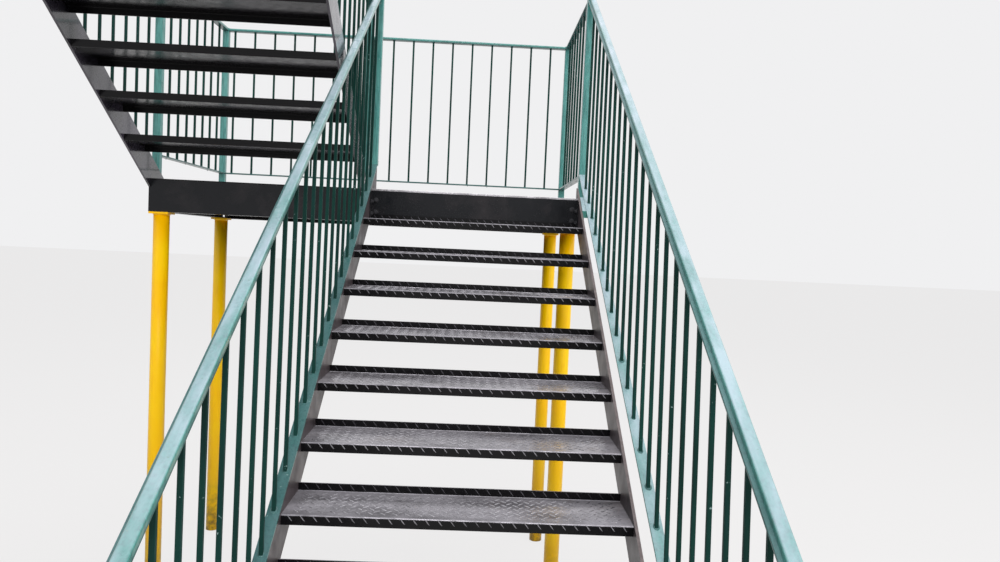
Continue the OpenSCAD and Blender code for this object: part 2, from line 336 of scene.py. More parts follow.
def plate_paint():
    """Chequer plate: black paint worn to grey steel where feet pass, and bright along the rounded
    folds, partly rubbed wear and partly a painted highlight.
    """
    f = Finish("chequer_plate_paint")
    faces_up = f.facing_up()
    up = f.ramp(faces_up, 0.60, 0.95)
    scuffs = f.noise(5.0, detail=8, roughness=0.62, stretch=(0.8, 2.0, 1.0))
    scuffs = f.ramp(scuffs, 0.36, 0.60, 0.32, 1.0)
    specks = f.ramp(f.noise(130.0, detail=3), 0.3, 0.7, 0.66, 1.0)
    worn = f.maths("MULTIPLY", f.maths("MULTIPLY", up, scuffs), specks)
    colour = f.blend(worn, PLATE_BLACK, RUBBED_PLATE)
    earth = f.ramp(f.noise(3.2, detail=5, roughness=0.6), 0.54, 0.72, 0.0, 0.6)
    earth = f.maths("MULTIPLY", up, earth)
    colour = f.blend(earth, colour, DRIED_EARTH)
    # Along the rounded fold between top and nosing: rubbed steel and a painted highlight where it
    # catches the light
    bend_wear_and_highlight = f.maths("MULTIPLY", f.ramp(faces_up, 0.12, 0.40), f.ramp(faces_up, 0.99, 0.93))
    bend_wear_and_highlight = f.maths("MULTIPLY", bend_wear_and_highlight, f.ramp(f.noise(22.0, detail=4), 0.30, 0.55, 0.3, 1.0))
    colour = f.blend(bend_wear_and_highlight, colour, RUBBED_AND_HIGHLIT_BEND)
    f.colour(colour)
    bare = f.maths("MAXIMUM", worn, bend_wear_and_highlight)
    f.link(f.ramp(bare, 0.2, 1.0, 0.0, 0.35), f.shader.inputs["Metallic"])
    f.roughness(30.0, 0.13, 0.27)
    f.even("Specular IOR Level", 0.2)
    f.grain(f.noise(160.0, detail=3), 0.2)
    return f.material


def lug_steel(name, rubbed, sides):
    """Raised lugs, rubbed on top and to the share that sides gives on their sides."""
    f = Finish(name)
    wear = f.ramp(f.noise(5.0, detail=6, roughness=0.6), 0.34, 0.58, 0.25, 1.0)
    flat_top = f.ramp(f.facing_up(), 0.5, 0.95, sides, 1.0)
    colour = f.blend(f.maths("MULTIPLY", wear, flat_top), LUG_GRIME, rubbed)
    f.colour(colour)
    f.roughness(40.0, 0.18, 0.32)
    f.even("Metallic", 0.55)
    return f.material


def green_enamel(name, deep, light, chalk_and_sheen_share, coat):
    """Brushed enamel between a deep and a light green, pale where it faces up: partly chalky
    weathered paint, partly a painted reflection of the sky.

    The chalk_and_sheen_share sets the share of that pale colour, and coat the share of gloss over
    it. It is paler still higher up and darker low down, as painted light and painted shade.
    """
    f = Finish(name)
    patches = f.ramp(f.noise(2.6, detail=5), 0.35, 0.7)
    colour = f.blend(patches, deep, light)
    streaks = f.noise(20.0, detail=5, roughness=0.6, stretch=(6.0, 6.0, 0.6))
    streaks = f.ramp(streaks, 0.46, 0.75, 0.0, 0.65)
    colour = f.blend(streaks, colour, DARK_STREAK)
    # Faces that look up turn pale: partly chalky weathered paint, partly a painted reflection of
    # the sky
    up = f.ramp(f.facing_up(), 0.45, 0.84)
    wear = f.noise(9.0, detail=6, roughness=0.6, stretch=(2.0, 0.35, 1.0))
    wear = f.ramp(wear, 0.32, 0.62, chalk_and_sheen_share * 0.35, chalk_and_sheen_share)
    # Paler higher up and darker low down: painted light of the open sky above, painted shade near
    # the ground
    height = f.ramp(f.height(), 1.2, 2.6, 0.7, 1.0)
    chalk_and_sheen = f.maths("MULTIPLY", f.maths("MULTIPLY", up, wear), height)
    colour = f.blend(chalk_and_sheen, colour, CHALK_AND_SKY_SHEEN)
    chips = f.ramp(f.noise(75.0, detail=2, roughness=0.5), 0.73, 0.76)
    colour = f.blend(chips, colour, CHIPPED_GREEN)
    f.colour(colour)
    dull = 0.24 if coat else 0.44
    f.roughness(25.0, dull, dull + 0.16)
    f.even("Specular IOR Level", 0.3 if coat else 0.15)
    f.even("Coat Weight", coat)
    f.even("Coat Roughness", 0.12)
    f.grain(f.noise(120.0, detail=2, roughness=0.5, stretch=(1.0, 1.0, 0.25)), 0.2)
    return f.material


def yellow_enamel():
    """Gloss yellow enamel, a little grimy low down."""
    f = Finish("yellow_enamel_paint")
    patches = f.ramp(f.noise(4.0, detail=4), 0.35, 0.7)
    colour = f.blend(patches, DEEP_YELLOW, LIGHT_YELLOW)
    runs = f.noise(14.0, detail=4, roughness=0.6, stretch=(4.0, 4.0, 0.4))
    runs = f.ramp(runs, 0.60, 0.8, 0.0, 0.5)
    colour = f.blend(runs, colour, ORANGE_RUN)
    low = f.ramp(f.height(), 0.35, 0.0)
    grime = f.maths("MULTIPLY", low, f.ramp(f.noise(26.0, detail=5), 0.4, 0.65))
    colour = f.blend(grime, colour, SPLASHED_EARTH)
    f.colour(colour)
    f.roughness(18.0, 0.28, 0.42)
    f.even("Specular IOR Level", 0.3)
    f.grain(f.noise(90.0, detail=2), 0.12)
    return f.material


def bolt_zinc():
    """Zinc-plated bolts under a thin coat of black, rubbed on the corners."""
    f = Finish("bolt_zinc")
    wear = f.ramp(f.noise(120.0, detail=3), 0.4, 0.6)
    f.colour(f.blend(wear, DARK_ZINC, LIGHT_ZINC))
    f.roughness(60.0, 0.35, 0.55)
    f.even("Metallic", 0.1)
    return f.material


BLACK = black_paint("black_paint", film=linear(40, 36, 38), clean=0.54, covered=0.78,
                    smooth=0.16, coat=0.0)
DUSTY_BLACK = black_paint("black_paint_under_dust", film=linear(74, 66, 68), clean=0.26,
                          covered=0.56, smooth=0.34, coat=0.0)
GLOSSY_BLACK = black_paint("black_paint_glossy", film=linear(74, 68, 80), clean=0.36,
                           covered=0.66, smooth=0.16, coat=0.7)
PLATE = plate_paint()
LUG = lug_steel("worn_lug_steel", rubbed=linear(216, 212, 218), sides=0.5)
PAINTED_LUG = lug_steel("painted_lug_steel", rubbed=linear(122, 119, 126), sides=0.5)
EDGE_STEEL = lug_steel("rubbed_edge_steel", rubbed=linear(206, 202, 206), sides=0.95)
GREEN = green_enamel("green_enamel_paint", deep=linear(54, 124, 114),
                     light=linear(84, 150, 141), chalk_and_sheen_share=1.0, coat=0.8)
# Darker copy of the green, with little pale colour: painted shade
SHADED_GREEN = green_enamel("green_enamel_in_shade", deep=linear(34, 82, 78),
                            light=linear(58, 108, 104), chalk_and_sheen_share=0.2, coat=0.3)
# Near-black copy of the green: painted shade on the bars
BAR_GREEN_PAINTED_SHADE = green_enamel("green_enamel_bars_painted_shade", deep=linear(6, 40, 34),
                         light=linear(15, 60, 52), chalk_and_sheen_share=0.3, coat=0.0)
# Lighter copy of the green: painted light on the newels
NEWEL_GREEN_PAINTED_LIGHT = green_enamel("green_enamel_newels_painted_light", deep=linear(68, 134, 127),
                           light=linear(100, 158, 152), chalk_and_sheen_share=0.4, coat=0.3)
YELLOW = yellow_enamel()
ZINC = bolt_zinc()

# Finishes that green pieces and lugs hold beside their main one, and their places there; the extra
# greens are darker and lighter copies of one paint, as painted shade and painted light
MORE_FINISHES = {GREEN.name: (SHADED_GREEN, BAR_GREEN_PAINTED_SHADE, NEWEL_GREEN_PAINTED_LIGHT), LUG.name: (PAINTED_LUG,)}
MAIN, SHADED, BARS, NEWELS = range(4)
PAINTED = 1


def dress(name):
    """The finish that a CAD node takes: the lower stringers are dusty, the upper ones glossy."""
    if "tread" in name or name == "landing_floor":
        return PLATE
    if "balustrade" in name:
        return GREEN
    if name.startswith("post"):
        return YELLOW
    if "stringer" in name:
        return DUSTY_BLACK if name.startswith("lower") else GLOSSY_BLACK
    return BLACK


for name, node in nodes.items():
    node.data.materials.clear()
    node.data.materials.append(dress(name))


def piece(name, bm, material, stands_for=()):
    """Turns a finished bmesh into a piece that rides on the stair."""
    mesh = bpy.data.meshes.new(name)
    bm.to_mesh(mesh)
    bm.free()
    mesh.materials.append(material)
    for finish in MORE_FINISHES.get(material.name, ()):
        mesh.materials.append(finish)
    obj = new_object(name, mesh)
    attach(obj, "root")
    if stands_for:
        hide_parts(*stands_for)


def paint(faces, place):
    """Gives faces the finish at a place in their piece."""
    for face in faces:
        face.material_index = place


def add(target, part):
    """Adds a finished shape to a larger one, faces outwards."""
    bmesh.ops.recalc_face_normals(part, faces=part.faces)
    mesh = bpy.data.meshes.new("shape")
    part.to_mesh(mesh)
    part.free()
    target.from_mesh(mesh)
    bpy.data.meshes.remove(mesh)


# Axes by their number in a vector
X, Y, Z = range(3)


def geometry_of(verts):
    """Vertices with the edges and faces between them."""
    edges = {e for v in verts for e in v.link_edges}
    faces = {f for v in verts for f in v.link_faces}
    return list(verts) + list(edges) + list(faces)


def repeat(bm, geom, step, times):
    """Copies geom times over, each copy a step on, and returns all of it."""
    everything = list(geom)
    for k in range(1, times):
        copy = bmesh.ops.duplicate(bm, geom=geom)["geom"]
        moved = [e for e in copy if isinstance(e, bmesh.types.BMVert)]
        bmesh.ops.translate(bm, verts=moved, vec=step * k)
        everything += copy
    return everything


def new_box(low, high):
    """A box between two corners, as a bmesh of its own."""
    bm = bmesh.new()
    low, high = Vector(low), Vector(high)
    bmesh.ops.create_cube(bm, size=1)
    bmesh.ops.scale(bm, verts=bm.verts, vec=high - low)
    bmesh.ops.translate(bm, verts=bm.verts, vec=(low + high) / 2)
    return bm


def ease(bm, edges, radius, segments=1):
    """Rounds edges to a radius."""
    bmesh.ops.bevel(bm, geom=list(edges), offset=radius, offset_type="OFFSET", segments=segments,
                    profile=0.5, affect="EDGES", material=-1, clamp_overlap=True)


def along(bm, axis):
    """Edges that run along X, Y or Z."""
    return [e for e in bm.edges
            if all(abs((e.verts[0].co - e.verts[1].co)[k]) < 1e-6 for k in range(3) if k != axis)]


def lean(bm, rise=0.0, sideways=0.0, bar_lean=0.0, start=0.0):
    """Shears a shape: z rises and x drifts with y from y = start, and x drifts with z."""
    shear = Matrix.Identity(4)
    shear[2][1] = rise
    shear[2][3] = -rise * start
    shear[0][1] = sideways
    shear[0][2] = bar_lean
    shear[0][3] = -sideways * start
    bmesh.ops.transform(bm, matrix=shear, verts=bm.verts)


def bead(target, centre, radii, rise=0.0, detail=2):
    """A lump of weld under paint, lying on a slope, in the darker copy of the green: painted shade
    where it sits in a corner or hangs under a rail.
    """
    bm = bmesh.new()
    bmesh.ops.create_icosphere(bm, subdivisions=detail, radius=1)
    bmesh.ops.scale(bm, verts=bm.verts, vec=radii)
    lean(bm, rise)
    bmesh.ops.translate(bm, verts=bm.verts, vec=centre)
    for face in bm.faces:
        face.smooth = True
    paint(bm.faces, SHADED)
    add(target, bm)


# Handrail: a flat that carries a rounded rail, set over to +X so that a lip shows beside it
LIP = 0.010
RAIL_FOOT = 0.007


def handrail(target, x, y0, y1, top, rise=0.0):
    """A handrail along Y whose top is at height top over y0 and rises with y."""
    depth = RAIL_D * math.hypot(1, rise)
    foot = RAIL_FOOT * math.hypot(1, rise)
    base = new_box((x - RAIL_W / 2, y0, top - depth), (x + RAIL_W / 2, y1, top - depth + foot))
    ease(base, along(base, Y), BLOCK_EDGE, segments=2)
    lean(base, rise, start=y0)
    # The foot takes the darker copy of the green: painted shade under the cap
    paint(base.faces, SHADED)
    add(target, base)
    cap = new_box((x - RAIL_W / 2 + LIP, y0, top - depth + foot - LET_IN),
                  (x + RAIL_W / 2, y1, top))
    upper = [e for e in along(cap, Y) if e.verts[0].co.z > top - depth / 3]
    ease(cap, upper, RAIL_EDGE, segments=4)
    lean(cap, rise, start=y0)
    add(target, cap)


def flat(target, x0, x1, y0, y1, under, rise=0.0, shaded=False):
    """A bottom rail along Y, its underside at height under over y0; a shaded one takes the darker
    copy of the green, as painted shade.
    """
    thick = FLAT_T * math.hypot(1, rise)
    bm = new_box((x0 - FLAT_W / 2, y0, under), (x0 + FLAT_W / 2, y1, under + thick))
    ease(bm, along(bm, Y), FLAT_EDGE, segments=2)
    lean(bm, rise, sideways=(x1 - x0) / (y1 - y0), start=y0)
    paint(bm.faces, SHADED if shaded else MAIN)
    add(target, bm)


# Welds at a bar's foot and top as half widths, and drips that hang under the bottom rail
FOOT_WELD = (0.0105, 0.0115, 0.0032)
TOP_WELD = (0.0085, 0.0095, 0.005)
WELD_SIZES = (0.8, 1.25)
WELD_DRIFT = 0.001
DRIP = 0.0022
DRIP_LONG = (0.004, 0.009)
DRIP_DRIFT = 0.012
DRIP_SHARE = 0.35


def baluster(target, x, y, foot, top, rail_x, rise):
    """A square bar between flat and rail, with its welds and the paint that pooled round it; the
    bar is in the near-black copy of the green, as painted shade.
    """
    height = top - foot
    bm = new_box((-BAR / 2, -BAR / 2, 0), (BAR / 2, BAR / 2, height))
    ease(bm, along(bm, Z), BAR_EDGE)
    lean(bm, bar_lean=(rail_x - x) / height)
    bmesh.ops.translate(bm, verts=bm.verts, vec=(x, y, foot))
    # The bar takes the near-black copy of the green: painted shade
    paint(bm.faces, BARS)
    add(target, bm)
    size = rng.uniform(*WELD_SIZES)
    across, lengthways, high = FOOT_WELD
    bead(target, (x + rng.uniform(-1, 1) * WELD_DRIFT, y, foot + FLAT_T * 0.5),
         (across * size, lengthways * size, high), rise)
    bead(target, (rail_x, y, top - RAIL_D * 0.55), TOP_WELD, rise, detail=1)
    if rng.random() < DRIP_SHARE:
        bead(target, (x + rng.uniform(-DRIP_DRIFT, DRIP_DRIFT), y - BAR / 2, foot - FLAT_T * 0.6),
             (DRIP, DRIP, rng.uniform(*DRIP_LONG)), detail=1)


def raked_panel(target, x0, x1, rail_x, y0, y1, under, rise, height, first, count):
    """A sloping balustrade: bottom rail, bars that lean to the straight handrail, and handrail.

    A bottom rail left of the lower flight's middle takes the darker copy of the green, as painted
    shade under the upper flight.
    """
    flat(target, x0, x1, y0, y1, under, rise, shaded=x0 < FLIGHT_MIDDLE)
    start = y0 + NEWEL / 2
    handrail(target, rail_x, start, y1 - NEWEL / 2, under + (start - y0) * rise + height, rise)
    for i in range(count):
        y = first - i * FLIGHT_PITCH
        here = under + (y - y0) * rise
        x = x0 + (x1 - x0) * (y - y0) / (y1 - y0)
        baluster(target, x, y, here + HALF_FLAT, here + height - HALF_RAIL, rail_x, rise)


def bars_between(first, last):
    """How many bars stand at the flights' pitch between the first and the last place for one."""
    return int((first - last) / FLIGHT_PITCH) + 1


# Newel's cap: a plate let in behind the tube's wall
CAP_WALL = 0.004
CAP_STEP = 0.001
CAP_DROP = 0.0015


def newel_post(target, x, y, base, top):
    """A square tube with rounded corners and a welded cap, in the lighter copy of the green as
    painted light.
    """
    bm = new_box((x - NEWEL / 2, y, base), (x + NEWEL / 2, y + NEWEL, top))
    ease(bm, along(bm, Z), NEWEL_EDGE, segments=3)
    bm.normal_update()
    crown = [f for f in bm.faces if f.normal.z > 0.9]
    bmesh.ops.inset_region(bm, faces=crown, thickness=CAP_WALL, depth=0.0)
    bmesh.ops.inset_region(bm, faces=crown, thickness=CAP_STEP, depth=-CAP_DROP)
    # The newel takes the lighter copy of the green: painted light
    paint(bm.faces, NEWELS)
    add(target, bm)


def packer(target, x, y, reach_x, reach_y):
    """Block that holds a newel off the beam beside it."""
    low = LANDING_Z - NEWEL_DROP + FLOOR_T
    bm = new_box((x, y, low), (x + reach_x, y + reach_y, low + NEWEL_DROP - 4 * FLOOR_T))
    ease(bm, along(bm, Z), BLOCK_EDGE)
    add(target, bm)


def rail_lug(target, face, reach, y, z, rise):
    """Lug that carries an outside flat from the stringer's face."""
    x0, x1 = sorted((face, face + reach))
    bm = new_box((x0, y, z - RAIL_LUG_H), (x1, y + RAIL_LUG_L, z + HALF_FLAT))
    ease(bm, along(bm, Y), SAWN_EDGE)
    lean(bm, rise, start=y)
    add(target, bm)


# Lower flight's balustrades: their ends, bottom rails, bars and newels
LOW_Y0 = left_rail_low.y
LOW_Y1 = left_rail_high.y
LOW_UNDER = lower_line(LOW_Y0) + STRINGER_OVER
PANEL_H = RAIL_H - STRINGER_OVER
LEFT_X = left_rail_low.x + NEWEL / 2
RIGHT_FOOT_X = right_rail_high.x - NEWEL / 2
RIGHT_X = LANDING_RIGHT + SIDE_GAP + NEWEL / 2
LOW_LAST = LOW_Y0 + NEWEL + BAR
LOW_TOP = lower_line(LOW_Y1) + RAIL_H + RAIL_D


def foot_newel(target, x):
    """The newel at the foot of the lower flight."""
    top = lower_line(LOW_Y0 + NEWEL) + RAIL_H + RAIL_D
    newel_post(target, x, LOW_Y0, LOW_UNDER + HALF_FLAT, top)


def lower_balustrade_left():
    """Stands on the left stringer, its handrail set in a little towards the treads."""
    bm = bmesh.new()
    first = LANDING_Y + NEWEL_BACK - LEFT_FIRST
    raked_panel(bm, LEFT_X, LEFT_X, LEFT_X + LEFT_RAIL_IN, LOW_Y0, LOW_Y1, LOW_UNDER, SLOPE,
                PANEL_H, first, bars_between(first, LOW_LAST))
    foot_newel(bm, LEFT_X)
    y = LANDING_Y + NEWEL_BACK
    newel_post(bm, LEFT_X, y, lower_line(y) + STRINGER_OVER + HALF_FLAT, LOW_TOP)
    piece("green_rail_lower_left", bm, GREEN, ("lower_balustrade_left",))


def lower_balustrade_right():
    """Stands off the right stringer on lugs, further at its foot than at the landing."""
    bm = bmesh.new()
    first = LANDING_Y + NEWEL_BACK - RIGHT_FIRST
    raked_panel(bm, RIGHT_FOOT_X, RIGHT_X, RIGHT_X, LOW_Y0, LOW_Y1, LOW_UNDER, SLOPE, PANEL_H,
                first, bars_between(first, LOW_LAST))
    foot_newel(bm, RIGHT_FOOT_X)
    y = LANDING_Y + NEWEL_BACK
    newel_post(bm, RIGHT_X, y, LANDING_Z - NEWEL_DROP, LOW_TOP)
    packer(bm, LANDING_RIGHT, y, SIDE_GAP + NEWEL / 2, NEWEL)
    for y in (FIRST_Y + GOING / 2, LANDING_Y - RAIL_LUG_L - BAR):
        gap = GAP_FOOT + (SIDE_GAP - GAP_FOOT) * (y - LOW_Y0) / (LOW_Y1 - LOW_Y0)
        rail_lug(bm, LANDING_RIGHT, gap + FLAT_W / 2, y, lower_line(y) + STRINGER_OVER, SLOPE)
    piece("green_rail_lower_right", bm, GREEN, ("lower_balustrade_right",))


# Upper flight's balustrades: the same
UP_Y0 = WALL_Y + PLATE_T
UP_UNDER = upper_line(UP_Y0) + STRINGER_OVER
UP_FIRST = LANDING_Y + UPPER_NEWEL_BACK - LEFT_FIRST
UP_LAST = UP_Y0 + NEWEL + BAR
UP_NEWEL_Y = LANDING_Y + UPPER_NEWEL_BACK
OUTER_X = outer_rail_low.x + NEWEL / 2
INNER_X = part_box("upper_balustrade_inner")[1].x - NEWEL / 2


def upper_panel(target, x):
    """The sloping part of an upper balustrade, and its newel at the wall."""
    raked_panel(target, x, x, x, UP_Y0, UP_NEWEL_Y + NEWEL / 2, UP_UNDER, -SLOPE, PANEL_H, UP_FIRST,
                bars_between(UP_FIRST, UP_LAST))
    newel_post(target, x, UP_Y0, upper_line(UP_Y0 + NEWEL) + STRINGER_OVER,
               upper_line(UP_Y0) + RAIL_H + RAIL_D)


def upper_balustrade_inner():
    """Stands on the inner stringer, and starts at a newel on the landing's floor."""
    bm = bmesh.new()
    upper_panel(bm, INNER_X)
    newel_post(bm, INNER_X, UP_NEWEL_Y, LANDING_Z, LANDING_Z + LANDING_RAIL_H)
    piece("green_rail_upper_inner", bm, GREEN, ("upper_balustrade_inner",))


def upper_balustrade_outer():
    """Stands off the outer stringer on lugs, and starts at a newel beside the landing."""
    bm = bmesh.new()
    upper_panel(bm, OUTER_X)
    newel_post(bm, OUTER_X, UP_NEWEL_Y, LANDING_Z - NEWEL_DROP, LANDING_Z + LANDING_RAIL_H)
    packer(bm, OUTER_X, UP_NEWEL_Y, SIDE_GAP + NEWEL / 2, NEWEL)
    for y in (WALL_Y + GOING / 2, UPPER_Y - RAIL_LUG_L):
        rail_lug(bm, LANDING_LEFT, -SIDE_GAP - FLAT_W / 2, y, upper_line(y) + STRINGER_OVER, -SLOPE)
    piece("green_rail_upper_outer", bm, GREEN, ("upper_balustrade_outer",))


def level_panel(length, first):
    """A level balustrade along +Y from y = 0, to be turned into its place."""
    bm = bmesh.new()
    bottom = LANDING_Z + LANDING_GAP
    top = LANDING_Z + LANDING_RAIL_H
    # The landing's bottom rails take the darker copy of the green, as painted shade
    flat(bm, 0, 0, 0, length, bottom, shaded=True)
    handrail(bm, 0, 0, length, top)
    y = first
    while y < length - NEWEL / 2 - BAR:
        baluster(bm, 0, y, bottom + FLAT_T / 2, top - RAIL_D / 2, 0, 0)
        y += LANDING_PITCH
    return bm


def landing_balustrade_rear():
    """Runs behind the landing between its corner newels."""
    bm = bmesh.new()
    y = rear_rail_high.y - NEWEL / 2
    panel = level_panel(RIGHT_X - OUTER_X, LANDING_FIRST)
    turn = Matrix.Translation((RIGHT_X, y, 0)) @ Matrix.Rotation(math.pi / 2, 4, "Z")
    bmesh.ops.transform(panel, matrix=turn, verts=panel.verts)
    add(bm, panel)
    for x in (OUTER_X, RIGHT_X):
        newel_post(bm, x, y - NEWEL / 2, LANDING_Z - NEWEL_DROP, LANDING_Z + LANDING_RAIL_H)
    for x in (OUTER_X, LANDING_RIGHT - NEWEL / 2):
        packer(bm, x, LANDING_BACK, SIDE_GAP + NEWEL, SIDE_GAP + NEWEL / 2)
    piece("green_rail_landing_rear", bm, GREEN, ("landing_balustrade_rear",))


def landing_side(name, node, x, front):
    """A balustrade at the landing's side, from front back to the rear newel."""
    length = rear_rail_high.y - NEWEL - front
    bars = int((length - 2 * BAR) / LANDING_PITCH)
    bm = level_panel(length, (length - (bars - 1) * LANDING_PITCH) / 2)
    bmesh.ops.translate(bm, verts=bm.verts, vec=(x, front, 0))
    piece(name, bm, GREEN, (node,))


lower_balustrade_left()
lower_balustrade_right()
upper_balustrade_inner()
upper_balustrade_outer()
landing_balustrade_rear()
landing_side("green_rail_landing_right", "landing_balustrade_right", RIGHT_X,
             LANDING_Y + NEWEL_BACK + NEWEL)
landing_side("green_rail_landing_left", "landing_balustrade_left", OUTER_X, UP_NEWEL_Y + NEWEL)

# Chequer plate: slim lugs, slanting one way and the other in alternate rows
LUG_PITCH = 0.038
LUG_LONG = 0.030
LUG_WIDE = 0.0065
LUG_HIGH = 0.0013
LUG_TOP = 0.36
LUG_TURN = math.radians(45)
EDGE_CLEAR = 0.012

# Lugs along the nosing and the upstand, and the share of its height at which a row sits
EDGE_LUG = 0.025
EDGE_LUG_WIDE = 0.0036
EDGE_TURN = math.radians(-51)
NOSING_ROW = 0.34
UPSTAND_ROW = 0.55


def plate_lug(bm, turn, long=LUG_LONG, wide=LUG_WIDE):
    """One lug at the origin on the plane z = 0, narrower on top; returns its vertices."""
    made = bmesh.ops.create_cone(bm, cap_ends=True, segments=6, radius1=long / 2,
                                 radius2=long * LUG_TOP, depth=LUG_HIGH)["verts"]
    bmesh.ops.scale(bm, verts=made, vec=(1, wide / long, 1))
    bmesh.ops.translate(bm, verts=made, vec=(0, 0, LUG_HIGH / 2))
    bmesh.ops.rotate(bm, verts=made, cent=(0, 0, 0), matrix=Matrix.Rotation(turn, 3, "Z"))
    return made


def lug_field(bm, width, depth):
    """A field of lugs on z = 0 from the origin to width along X and depth along Y."""
    columns = int(width / LUG_PITCH)
    rows = int(depth / LUG_PITCH)
    half = LUG_PITCH / 2
    margin_x = (width - columns * LUG_PITCH) / 2 + half / 2
    margin_y = (depth - rows * LUG_PITCH) / 2 + half / 2
    one = plate_lug(bm, -LUG_TURN)
    other = plate_lug(bm, LUG_TURN)
    bmesh.ops.translate(bm, verts=other, vec=(half, half, 0))
    pair = one + other
    bmesh.ops.translate(bm, verts=pair, vec=(margin_x, margin_y, 0))
    row = repeat(bm, geometry_of(pair), Vector((LUG_PITCH, 0, 0)), columns)
    repeat(bm, row, Vector((0, LUG_PITCH, 0)), rows)


def edge_lugs(bm, width, y, z, finish):
    """A row of slanting lugs on an edge that faces -Y, centred on height z."""
    count = int(width / LUG_PITCH)
    margin = (width - count * LUG_PITCH) / 2 + LUG_PITCH / 2
    verts = plate_lug(bm, EDGE_TURN, EDGE_LUG, EDGE_LUG_WIDE)
    bmesh.ops.rotate(bm, verts=verts, cent=(0, 0, 0),
                     matrix=Matrix.Rotation(math.pi / 2, 3, "X"))
    bmesh.ops.translate(bm, verts=verts, vec=(margin, y, z))
    paint({f for v in verts for f in v.link_faces}, finish)
    repeat(bm, geometry_of(verts), Vector((LUG_PITCH, 0, 0)), count)


def set_flight(bm, corner, step, count, facing):
    """Turns one tread's shape to face its way, moves its nosing to corner and repeats it."""
    if facing < 0:
        bmesh.ops.rotate(bm, verts=bm.verts, cent=(FLIGHT_W / 2, 0, 0),
                         matrix=Matrix.Rotation(math.pi, 3, "Z"))
    bmesh.ops.translate(bm, verts=bm.verts, vec=corner)
    repeat(bm, bm.verts[:] + bm.edges[:] + bm.faces[:], step, count)
    bmesh.ops.recalc_face_normals(bm, faces=bm.faces)


def tread_lugs(name, corner, step, count, facing):
    """Lugs of a whole flight: corner is the first tread's nosing at its low-X end."""
    bm = bmesh.new()
    lug_field(bm, FLIGHT_W - 2 * EDGE_CLEAR, TREAD_D - 2 * EDGE_CLEAR)
    bmesh.ops.translate(bm, verts=bm.verts, vec=(EDGE_CLEAR, EDGE_CLEAR, 0))
    edge_lugs(bm, FLIGHT_W, 0, -NOSING_H * NOSING_ROW, MAIN)
    edge_lugs(bm, FLIGHT_W, TREAD_D - TREAD_T, UPSTAND_H * UPSTAND_ROW, PAINTED)
    set_flight(bm, corner, step, count, facing)
    piece(name, bm, LUG)


# Radii of a tread's bends
BEND_OUTSIDE = 0.0045
BEND_INSIDE = 0.0015


def bent_treads(name, prefix, corner, step, count, facing):
    """Treads of a whole flight: plate with its front turned down and its back turned up."""
    bm = bmesh.new()
    outline = [(0, 0), (0, -NOSING_H), (TREAD_T, -NOSING_H), (TREAD_T, -TREAD_T),
               (TREAD_D, -TREAD_T), (TREAD_D, UPSTAND_H), (TREAD_D - TREAD_T, UPSTAND_H),
               (TREAD_D - TREAD_T, 0)]
    face = bm.faces.new([bm.verts.new((0, y, z)) for y, z in outline])
    side = bmesh.ops.extrude_face_region(bm, geom=[face])["geom"]
    moved = [e for e in side if isinstance(e, bmesh.types.BMVert)]
    bmesh.ops.translate(bm, verts=moved, vec=(FLIGHT_W, 0, 0))
    outer = [(0, 0), (TREAD_D, -TREAD_T)]
    inner = [(TREAD_T, -TREAD_T), (TREAD_D - TREAD_T, 0)]
    for spots, radius, segments in ((outer, BEND_OUTSIDE, 4), (inner, BEND_INSIDE, 2)):
        bends = [e for e in along(bm, X)
                 if any(abs(e.verts[0].co.y - y) < 1e-5 and abs(e.verts[0].co.z - z) < 1e-5
                        for y, z in spots)]
        ease(bm, bends, radius, segments)
    set_flight(bm, corner, step, count, facing)
    names = ["%s_%02d" % (prefix, k) for k in range(1, count + 1)]
    piece(name, bm, PLATE, names)


LOWER_CORNER = (tread_low.x, tread_low.y, RISE)
UPPER_CORNER = (first_up_low.x, first_up_high.y, LANDING_Z + RISE)
UP_STEP = Vector((0, GOING, RISE))
BACK_STEP = Vector((0, -GOING, RISE))
tread_lugs("lower_tread_lugs", LOWER_CORNER, UP_STEP, LOWER_TREADS, 1)
bent_treads("bent_treads_lower", "lower_tread", LOWER_CORNER, UP_STEP, LOWER_TREADS, 1)
tread_lugs("upper_tread_lugs", UPPER_CORNER, BACK_STEP, UPPER_TREADS, -1)
bent_treads("bent_treads_upper", "upper_tread", UPPER_CORNER, BACK_STEP, UPPER_TREADS, -1)


def floor_lugs():
    """Lugs of the landing's floor, clear of its edges."""
    bm = bmesh.new()
    size = floor_high - floor_low
    clear = 2 * EDGE_CLEAR
    lug_field(bm, size.x - 2 * clear, size.y - 2 * clear)
    bmesh.ops.translate(bm, verts=bm.verts,
                        vec=(floor_low.x + clear, floor_low.y + clear, LANDING_Z))
    bmesh.ops.recalc_face_normals(bm, faces=bm.faces)
    piece("landing_floor_lugs", bm, LUG)


floor_lugs()

# Floor plate's front edge: how far it stands proud, up, back and down
EDGE_PROUD = 0.0015
EDGE_UP = 0.0006
EDGE_BACK = 0.004
EDGE_DOWN = 0.009


def floor_edge():
    """The floor plate's front edge, rounded and rubbed bright."""
    bm = new_box((tread_low.x, LANDING_Y - EDGE_PROUD, LANDING_Z - EDGE_DOWN),
                 (tread_high.x, LANDING_Y + EDGE_BACK, LANDING_Z + EDGE_UP))
    ease(bm, along(bm, X), BLOCK_EDGE, segments=2)
    bmesh.ops.recalc_face_normals(bm, faces=bm.faces)
    piece("landing_floor_edge", bm, EDGE_STEEL)


floor_edge()

# Bolts: thickness of washers and heads, and widths of heads and washers by where they sit
WASHER_T = 0.0025
WASHER_SIDES = 20
HEAD_T = 0.008
CLEAT_BOLT = (0.019, 0.026)
ANCHOR_BOLT = (0.022, 0.030)


